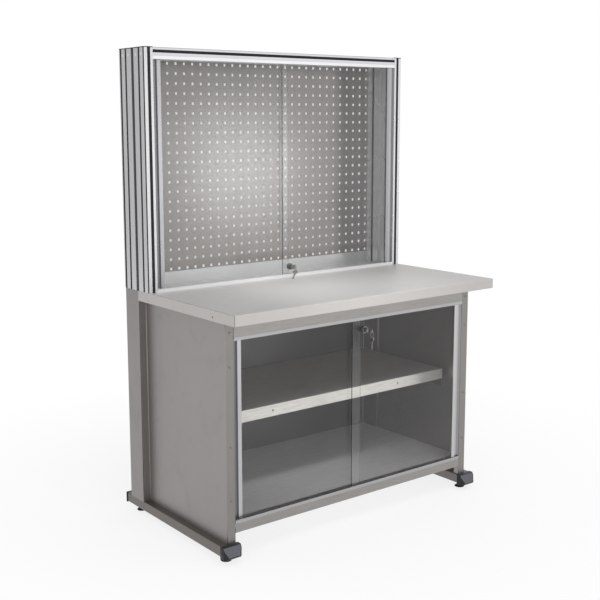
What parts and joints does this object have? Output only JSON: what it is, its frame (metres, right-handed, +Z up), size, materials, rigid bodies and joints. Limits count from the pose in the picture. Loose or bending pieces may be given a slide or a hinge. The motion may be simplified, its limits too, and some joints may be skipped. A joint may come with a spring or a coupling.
{
  "type": "workbench",
  "caption": "Stainless steel workbench with a glazed cupboard under the worktop and a shallow glazed pegboard cabinet above it, closed by sliding glass doors with key locks.",
  "frame": {"origin": "on the floor, under the middle of the bench's overall box", "axes": "+Z up, +X to the right along the bench as seen from the front, the front faces -Y"},
  "size_m": [1.27, 0.775, 1.8],
  "materials": {
    "stainless": "brushed stainless sheet, grain along each piece",
    "stainless_bright": "finely brushed stainless sheet of the worktop and shelf",
    "stainless_perforated": "brushed stainless sheet with punched square holes",
    "aluminium_profile": "satin anodised extrusion",
    "black_plastic": "finely grained black plastic",
    "grey_plastic": "dark grey nylon",
    "clear_glass": "clear float glass with polished edges",
    "chrome_fittings": "polished chrome plating",
    "zinc_steel": "zinc-plated steel fasteners",
    "board_core": "particle board, sealed inside the worktop"
  },
  "bodies": {
    "bench": {"back_panel": "stainless", "base_bottom_track": "aluminium_profile", "base_top_track": "aluminium_profile", "cabinet_bottom_track": "aluminium_profile", "cabinet_top_rail": "aluminium_profile", "cabinet_top_track": "aluminium_profile", "floor_shelf": "stainless", "foot_bar_left": "stainless", "foot_bar_nuts": "zinc_steel", "foot_bar_right": "stainless", "front_bottom_rail": "stainless", "front_foot_caps": "black_plastic", "front_top_rail": "stainless", "front_upright_left": "aluminium_profile", "front_upright_right": "aluminium_profile", "middle_shelf": "stainless_bright", "panel_screws": "zinc_steel", "pegboard": "stainless_perforated", "pegboard_bottom_rail": "aluminium_profile", "pegboard_top_rail": "aluminium_profile", "rear_bottom_rail": "stainless", "rear_foot_caps": "black_plastic", "rear_post_left": "stainless", "rear_post_right": "stainless", "rear_top_rail": "stainless", "rear_upright_left": "aluminium_profile", "rear_upright_right": "aluminium_profile", "roof_panel": "stainless", "shelf_angles": "stainless", "side_infills": "black_plastic", "side_panel_left": "stainless", "side_panel_right": "stainless", "slot_cover_strips": "black_plastic", "upright_caps": "black_plastic", "worktop_core": "board_core", "worktop_screws": "zinc_steel", "worktop_skin": "stainless_bright"},
    "base_right_door": {"base_right_door_glass": "clear_glass", "base_right_door_pull": "aluminium_profile", "base_right_door_glides": "grey_plastic", "base_lock": "chrome_fittings"},
    "base_left_door": {"base_left_door_glass": "clear_glass", "base_left_door_pull": "aluminium_profile", "base_left_door_glides": "grey_plastic"},
    "cabinet_right_door": {"cabinet_right_door_glass": "clear_glass", "cabinet_right_door_pull": "aluminium_profile", "cabinet_right_door_glides": "grey_plastic", "cabinet_lock": "chrome_fittings"},
    "cabinet_left_door": {"cabinet_left_door_glass": "clear_glass", "cabinet_left_door_pull": "aluminium_profile", "cabinet_left_door_glides": "grey_plastic"},
    "base_key": {"base_key": "chrome_fittings"},
    "base_spare_key": {"base_spare_key": "chrome_fittings"},
    "cabinet_key": {"cabinet_key": "chrome_fittings"},
    "cabinet_spare_key": {"cabinet_spare_key": "chrome_fittings"},
    "levelling_foot_front_left": {"levelling_foot_front_left": "black_plastic"},
    "levelling_foot_front_right": {"levelling_foot_front_right": "black_plastic"},
    "levelling_foot_rear_left": {"levelling_foot_rear_left": "black_plastic"},
    "levelling_foot_rear_right": {"levelling_foot_rear_right": "black_plastic"}
  },
  "joints": [
    {"name": "base_right_door_slide", "type": "slide", "parent": "bench", "child": "base_right_door", "axis": [-1, 0, 0], "range_m": [0, 0.54]},
    {"name": "base_left_door_slide", "type": "slide", "parent": "bench", "child": "base_left_door", "axis": [1, 0, 0], "range_m": [0, 0.535]},
    {"name": "cabinet_right_door_slide", "type": "slide", "parent": "bench", "child": "cabinet_right_door", "axis": [-1, 0, 0], "range_m": [0, 0.585]},
    {"name": "cabinet_left_door_slide", "type": "slide", "parent": "bench", "child": "cabinet_left_door", "axis": [1, 0, 0], "range_m": [0, 0.565]},
    {"name": "base_key_turn", "type": "hinge", "parent": "base_right_door", "child": "base_key", "pos_m": [0.038, -0.3065, 0.75], "axis": [0, 1, 0], "range_deg": [0, 90]},
    {"name": "cabinet_key_turn", "type": "hinge", "parent": "cabinet_right_door", "child": "cabinet_key", "pos_m": [0.028, 0.1425, 0.942], "axis": [0, 1, 0], "range_deg": [0, 90]},
    {"name": "base_spare_key_swing", "type": "hinge", "parent": "base_key", "child": "base_spare_key", "pos_m": [0.038, -0.3215, 0.7481], "axis": [-1, 0, 0], "range_deg": [-20, 60]},
    {"name": "cabinet_spare_key_swing", "type": "hinge", "parent": "cabinet_key", "child": "cabinet_spare_key", "pos_m": [0.028, 0.1275, 0.942], "axis": [-0.6293, 0.7771, 0], "range_deg": [0, 60]},
    {"name": "levelling_foot_front_left_adjust", "type": "slide", "parent": "bench", "child": "levelling_foot_front_left", "axis": [0, 0, 1], "range_m": [-0.01, 0.006]},
    {"name": "levelling_foot_front_right_adjust", "type": "slide", "parent": "bench", "child": "levelling_foot_front_right", "axis": [0, 0, 1], "range_m": [-0.01, 0.006]},
    {"name": "levelling_foot_rear_left_adjust", "type": "slide", "parent": "bench", "child": "levelling_foot_rear_left", "axis": [0, 0, 1], "range_m": [-0.01, 0.006]},
    {"name": "levelling_foot_rear_right_adjust", "type": "slide", "parent": "bench", "child": "levelling_foot_rear_right", "axis": [0, 0, 1], "range_m": [-0.01, 0.006]}
  ]
}
